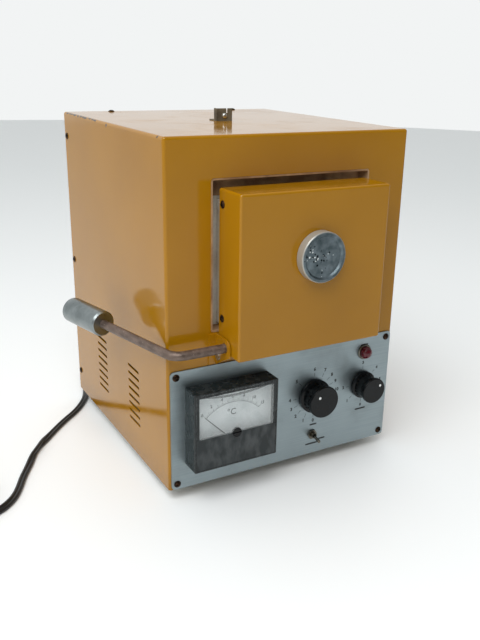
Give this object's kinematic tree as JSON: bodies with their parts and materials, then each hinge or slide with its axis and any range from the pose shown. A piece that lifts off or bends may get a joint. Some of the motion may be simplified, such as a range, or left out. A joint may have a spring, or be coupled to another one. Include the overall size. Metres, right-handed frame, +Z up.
{
  "type": "ring furnace",
  "caption": "Bench furnace with a drop-down door on a counterweighted lever, sight plug, meter, knobs, lamp and mains lead.",
  "frame": {"origin": "on the standing surface, under the middle of the case", "axes": "+X to the right seen from the front, +Y to the back, +Z up; the door opens towards -Y"},
  "size_m": [0.5109, 0.4064, 0.344],
  "materials": {
    "enamel": "glossy stoved ochre enamel on sheet steel",
    "dark_screws": "blackened dome screws",
    "zinc_sheet": "zinc-plated sheet steel",
    "zinc_screws": "zinc-plated",
    "rubber": "moulded black rubber",
    "brushed_aluminium": "brushed lengthwise and anodised",
    "turned_aluminium": "turned, pitted and dulled",
    "scaled_steel": "heat-stained and scaled",
    "fibre_board": "compressed white ceramic fibre",
    "fireclay": "fired fireclay",
    "winding_cement": "resistance wire bedded in cement",
    "oxidised_rod": "brown oxidised steel bar",
    "bright_steel": "turned and plated",
    "smoked_case": "smoked dark moulding",
    "clear_front": "clear moulded window",
    "white_scale": "matt white scale plate",
    "movement_metal": "pressed metal",
    "black_needle": "black painted",
    "black_moulding": "black phenolic moulding",
    "shaft_steel": "turned steel",
    "plated_brass": "nickel plated",
    "red_lens": "translucent red moulding",
    "cord_black": "soft black sheath"
  },
  "bodies": {
    "case": {"base_plate": "zinc_sheet", "case_screws": "dark_screws", "casing": "enamel", "cord_coil": "cord_black", "cord_gland": "cord_black", "cord_relief": "cord_black", "feet": "rubber", "foot_screws": "zinc_screws", "front_board": "fibre_board", "heating_winding": "winding_cement", "hinge_ear_left": "enamel", "hinge_ear_right": "enamel", "instrument_panel": "brushed_aluminium", "insulation_bottom": "fibre_board", "insulation_left": "fibre_board", "insulation_rear": "fibre_board", "insulation_right": "fibre_board", "insulation_top": "fibre_board", "lamp_body": "black_moulding", "mains_cord": "cord_black", "mains_plug": "cord_black", "meter_case": "smoked_case", "meter_cover": "smoked_case", "meter_dial": "white_scale", "meter_movement": "movement_metal", "meter_window": "clear_front", "muffle": "fireclay", "panel_screws": "dark_screws", "pilot_bezel": "plated_brass", "pilot_lens": "red_lens", "plug_blades": "plated_brass", "rear_panel": "enamel", "recess_liner": "scaled_steel", "regulator_unit": "black_moulding", "selector_unit": "black_moulding", "shelf": "zinc_sheet", "stop_screws": "zinc_screws", "terminal_block": "black_moulding", "thermocouple": "fireclay", "toggle_body": "black_moulding", "toggle_bushing": "plated_brass", "vent_bracket": "scaled_steel", "vent_screw": "dark_screws", "vent_tube": "fireclay"},
    "door": {"door_pan": "enamel", "door_block": "fibre_board", "door_tray": "zinc_sheet", "door_screws": "dark_screws", "sight_tube": "scaled_steel", "lever_rod": "oxidised_rod", "lever_grip": "bright_steel", "grip_screw": "zinc_screws"},
    "sight_plug_body": {"sight_plug": "turned_aluminium"},
    "needle": {"meter_needle": "black_needle"},
    "adjuster": {"zero_adjuster": "black_moulding"},
    "regulator_dial": {"regulator_knob": "black_moulding", "regulator_shaft": "shaft_steel"},
    "selector_dial": {"selector_knob": "black_moulding", "selector_shaft": "shaft_steel"},
    "switch_lever": {"toggle_lever": "plated_brass"}
  },
  "joints": [
    {"name": "door_hinge", "type": "hinge", "parent": "case", "child": "door", "pos_m": [0, -0.1505, 0.152], "axis": [1, 0, 0], "range_deg": [0, 90]},
    {"name": "sight_plug_pull", "type": "slide", "parent": "door", "child": "sight_plug_body", "axis": [0, -1, 0], "range_m": [0, 0.04]},
    {"name": "needle_pivot", "type": "hinge", "parent": "case", "child": "needle", "pos_m": [-0.066, -0.1455, 0.057], "axis": [0, 1, 0], "range_deg": [0, 90], "stiffness_Nm_per_rad": 0.001},
    {"name": "zero_turn", "type": "hinge", "parent": "case", "child": "adjuster", "pos_m": [-0.066, -0.1525, 0.0684], "axis": [0, -1, 0], "range_deg": [-30, 30]},
    {"name": "regulator_turn", "type": "hinge", "parent": "case", "child": "regulator_dial", "pos_m": [0.031, -0.14, 0.077], "axis": [0, -1, 0], "range_deg": [-136.5, 133]},
    {"name": "selector_turn", "type": "hinge", "parent": "case", "child": "selector_dial", "pos_m": [0.0906, -0.14, 0.0774], "axis": [0, -1, 0], "range_deg": [-38, 230]},
    {"name": "switch_throw", "type": "hinge", "parent": "case", "child": "switch_lever", "pos_m": [0.031, -0.1355, 0.034], "axis": [-1, 0, 0], "range_deg": [0, 24]}
  ]
}
